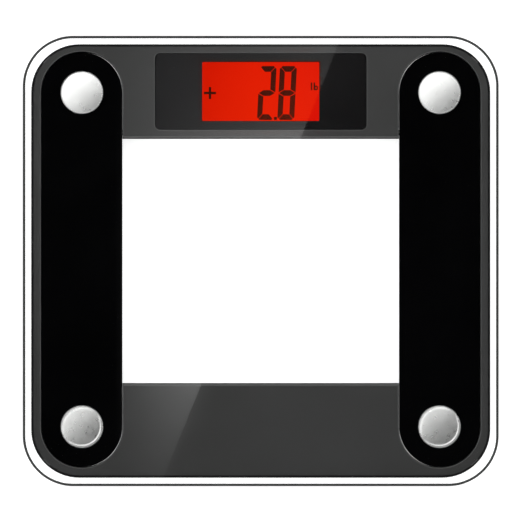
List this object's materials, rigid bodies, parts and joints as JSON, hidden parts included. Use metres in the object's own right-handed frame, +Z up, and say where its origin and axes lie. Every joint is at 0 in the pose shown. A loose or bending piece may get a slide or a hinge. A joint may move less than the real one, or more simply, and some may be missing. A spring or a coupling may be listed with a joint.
{
  "type": "digital bathroom scale",
  "caption": "Clear glass platform on a dark frame with black sensor rails, steel sensor caps and a lit red reading at the rear edge.",
  "frame": {"origin": "on the floor under the middle of the glass platform, at the centre of the feet's plane", "axes": "+X to the user's right, +Y towards the display edge, +Z up out of the glass"},
  "size_m": [0.317, 0.3, 0.024],
  "materials": {
    "clear_glass": "polished clear tempered glass with ground edges",
    "frame_plastic": "dark grey moulded plastic, fine matt grain",
    "rail_plastic": "black moulded plastic, satin",
    "cover_plastic": "dark grey moulded plastic, fine grain",
    "cap_steel": "satin stainless steel with a bright bevelled rim",
    "cell_steel": "stamped spring steel",
    "gauge_silicone": "white silicone over the strain gauges",
    "lead_insulation": "dark grey cable sheath",
    "buffer_silicone": "translucent silicone",
    "foot_plastic": "black moulded plastic",
    "pad_rubber": "charcoal non-slip rubber",
    "bezel_lens": "dark smoked plastic, gloss",
    "display_glass": "thin display glass",
    "display_face": "lit red film",
    "guide_acrylic": "milky acrylic light guide",
    "led_resin": "side-view light-emitting diodes",
    "zebra_rubber": "striped conductive elastomer",
    "holder_plastic": "white moulded plastic",
    "board_laminate": "green solder mask on glass-fibre board",
    "chip_epoxy": "black epoxy",
    "connector_nylon": "ivory nylon plugs",
    "capacitor_ceramic": "brown ceramic with tinned ends",
    "can_metal": "tin-plated can",
    "plunger_plastic": "red plastic plunger",
    "button_plastic": "grey plastic button",
    "coin_steel": "nickel-plated steel can",
    "contact_bronze": "plated spring bronze",
    "battery_lead_insulation": "red and black insulation, shown as red",
    "screw_steel": "zinc-plated pan-head screws"
  },
  "bodies": {
    "platform": {"glass_platform": "clear_glass", "frame": "frame_plastic", "rail_left": "rail_plastic", "rail_right": "rail_plastic", "rail_cover_left": "cover_plastic", "rail_cover_right": "cover_plastic", "bay_cover": "cover_plastic", "front_cover": "cover_plastic", "battery_tray": "cover_plastic", "sensor_cap_front_left": "cap_steel", "sensor_cap_front_right": "cap_steel", "sensor_cap_rear_left": "cap_steel", "sensor_cap_rear_right": "cap_steel", "load_cell_front_left": "cell_steel", "load_cell_front_right": "cell_steel", "load_cell_rear_left": "cell_steel", "load_cell_rear_right": "cell_steel", "strain_gauges": "gauge_silicone", "sensor_lead_front_left": "lead_insulation", "sensor_lead_front_right": "lead_insulation", "sensor_lead_rear_left": "lead_insulation", "sensor_lead_rear_right": "lead_insulation", "buffer_front_left": "buffer_silicone", "buffer_front_right": "buffer_silicone", "buffer_rear_left": "buffer_silicone", "buffer_rear_right": "buffer_silicone", "display_bezel": "bezel_lens", "lcd_glass": "display_glass", "lcd_polariser": "display_face", "light_guide": "guide_acrylic", "backlight_leds": "led_resin", "zebra_strips": "zebra_rubber", "lcd_holder": "holder_plastic", "main_board": "board_laminate", "controller_chip": "chip_epoxy", "converter_chip": "chip_epoxy", "unit_switch_body": "chip_epoxy", "board_connectors": "connector_nylon", "board_capacitors": "capacitor_ceramic", "crystal": "can_metal", "coin_cell_front": "coin_steel", "coin_cell_rear": "coin_steel", "battery_contacts": "contact_bronze", "battery_leads": "battery_lead_insulation", "bay_cover_screws": "screw_steel", "front_cover_screws": "screw_steel", "rail_cover_screws": "screw_steel", "cell_screws": "screw_steel", "board_screws": "screw_steel"},
    "foot_front_left_body": {"foot_front_left": "foot_plastic", "foot_pad_front_left": "pad_rubber"},
    "foot_front_right_body": {"foot_front_right": "foot_plastic", "foot_pad_front_right": "pad_rubber"},
    "foot_rear_left_body": {"foot_rear_left": "foot_plastic", "foot_pad_rear_left": "pad_rubber"},
    "foot_rear_right_body": {"foot_rear_right": "foot_plastic", "foot_pad_rear_right": "pad_rubber"},
    "battery_door_body": {"battery_door": "cover_plastic"},
    "unit_button_body": {"unit_button": "button_plastic", "unit_switch_plunger": "plunger_plastic"}
  },
  "joints": [
    {"name": "foot_front_left_travel", "type": "slide", "parent": "platform", "child": "foot_front_left_body", "axis": [0, 0, 1], "range_m": [0, 0.0005], "stiffness_N_per_m": 20000, "deforming": ["buffer_front_left"]},
    {"name": "foot_front_right_travel", "type": "slide", "parent": "platform", "child": "foot_front_right_body", "axis": [0, 0, 1], "range_m": [0, 0.0005], "stiffness_N_per_m": 20000, "deforming": ["buffer_front_right"]},
    {"name": "foot_rear_left_travel", "type": "slide", "parent": "platform", "child": "foot_rear_left_body", "axis": [0, 0, 1], "range_m": [0, 0.0005], "stiffness_N_per_m": 20000, "deforming": ["buffer_rear_left"]},
    {"name": "foot_rear_right_travel", "type": "slide", "parent": "platform", "child": "foot_rear_right_body", "axis": [0, 0, 1], "range_m": [0, 0.0005], "stiffness_N_per_m": 20000, "deforming": ["buffer_rear_right"]},
    {"name": "battery_door_hinge", "type": "hinge", "parent": "platform", "child": "battery_door_body", "pos_m": [0.064, 0.1391, 0.0054], "axis": [1, 0, 0], "range_deg": [0, 90]},
    {"name": "unit_button_press", "type": "slide", "parent": "platform", "child": "unit_button_body", "axis": [0, 0, 1], "range_m": [0, 0.0003], "stiffness_N_per_m": 5000}
  ]
}
